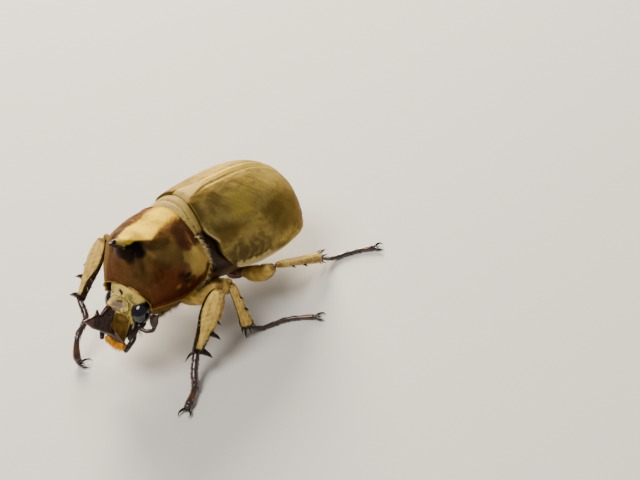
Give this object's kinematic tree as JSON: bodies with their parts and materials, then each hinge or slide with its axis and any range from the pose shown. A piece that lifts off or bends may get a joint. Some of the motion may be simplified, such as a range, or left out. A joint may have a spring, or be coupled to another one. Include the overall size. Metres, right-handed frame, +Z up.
{
  "type": "rhinoceros beetle",
  "caption": "Life-size still model of a male rhinoceros beetle standing on level feet, with a horned shield, a bladed face horn and velvety wing cases.",
  "frame": {"origin": "middle of the bounding box on the floor under the feet", "axes": "-Y is forward, where the head points; +X is the beetle's left; +Z is up"},
  "size_m": [0.0336, 0.0434, 0.0207],
  "materials": {
    "velvet_shell": "hard shell under short golden-olive velvet, worn and mottled",
    "worn_shell": "glossy dark mahogany shell with golden velvet left in patches",
    "dark_shell": "smooth glossy purple-black shell",
    "pale_skin": "pale cream close felt over shell",
    "eye": "glossy black, finely faceted",
    "bristle": "dense orange-yellow bristles",
    "velvet_leg": "tan velvet over dark shell, with black toothed edges"
  },
  "bodies": {
    "root": {"pronotum": "worn_shell", "pronotal_horn": "dark_shell", "head": "velvet_shell", "clypeus": "worn_shell", "head_horn": "dark_shell", "eye_left": "eye", "eye_right": "eye", "mouth_brush": "bristle", "palp_left": "dark_shell", "palp_right": "dark_shell", "antenna_left": "dark_shell", "antenna_right": "dark_shell", "prosternum": "dark_shell", "mesothorax": "pale_skin", "scutellum": "pale_skin", "elytron_left": "velvet_shell", "elytron_right": "velvet_shell", "metathorax": "dark_shell", "abdomen": "velvet_shell", "pygidium": "velvet_shell", "front_left_coxa": "dark_shell", "front_left_femur": "velvet_leg", "front_left_tibia": "velvet_leg", "front_left_tarsus": "dark_shell", "front_right_coxa": "dark_shell", "front_right_femur": "velvet_leg", "front_right_tibia": "velvet_leg", "front_right_tarsus": "dark_shell", "mid_left_coxa": "dark_shell", "mid_left_femur": "velvet_leg", "mid_left_tibia": "velvet_leg", "mid_left_tarsus": "dark_shell", "mid_right_coxa": "dark_shell", "mid_right_femur": "velvet_leg", "mid_right_tibia": "velvet_leg", "mid_right_tarsus": "dark_shell", "hind_left_coxa": "dark_shell", "hind_left_femur": "velvet_leg", "hind_left_tibia": "velvet_leg", "hind_left_tarsus": "dark_shell", "hind_right_coxa": "dark_shell", "hind_right_femur": "velvet_leg", "hind_right_tibia": "velvet_leg", "hind_right_tarsus": "dark_shell"}
  },
  "joints": []
}
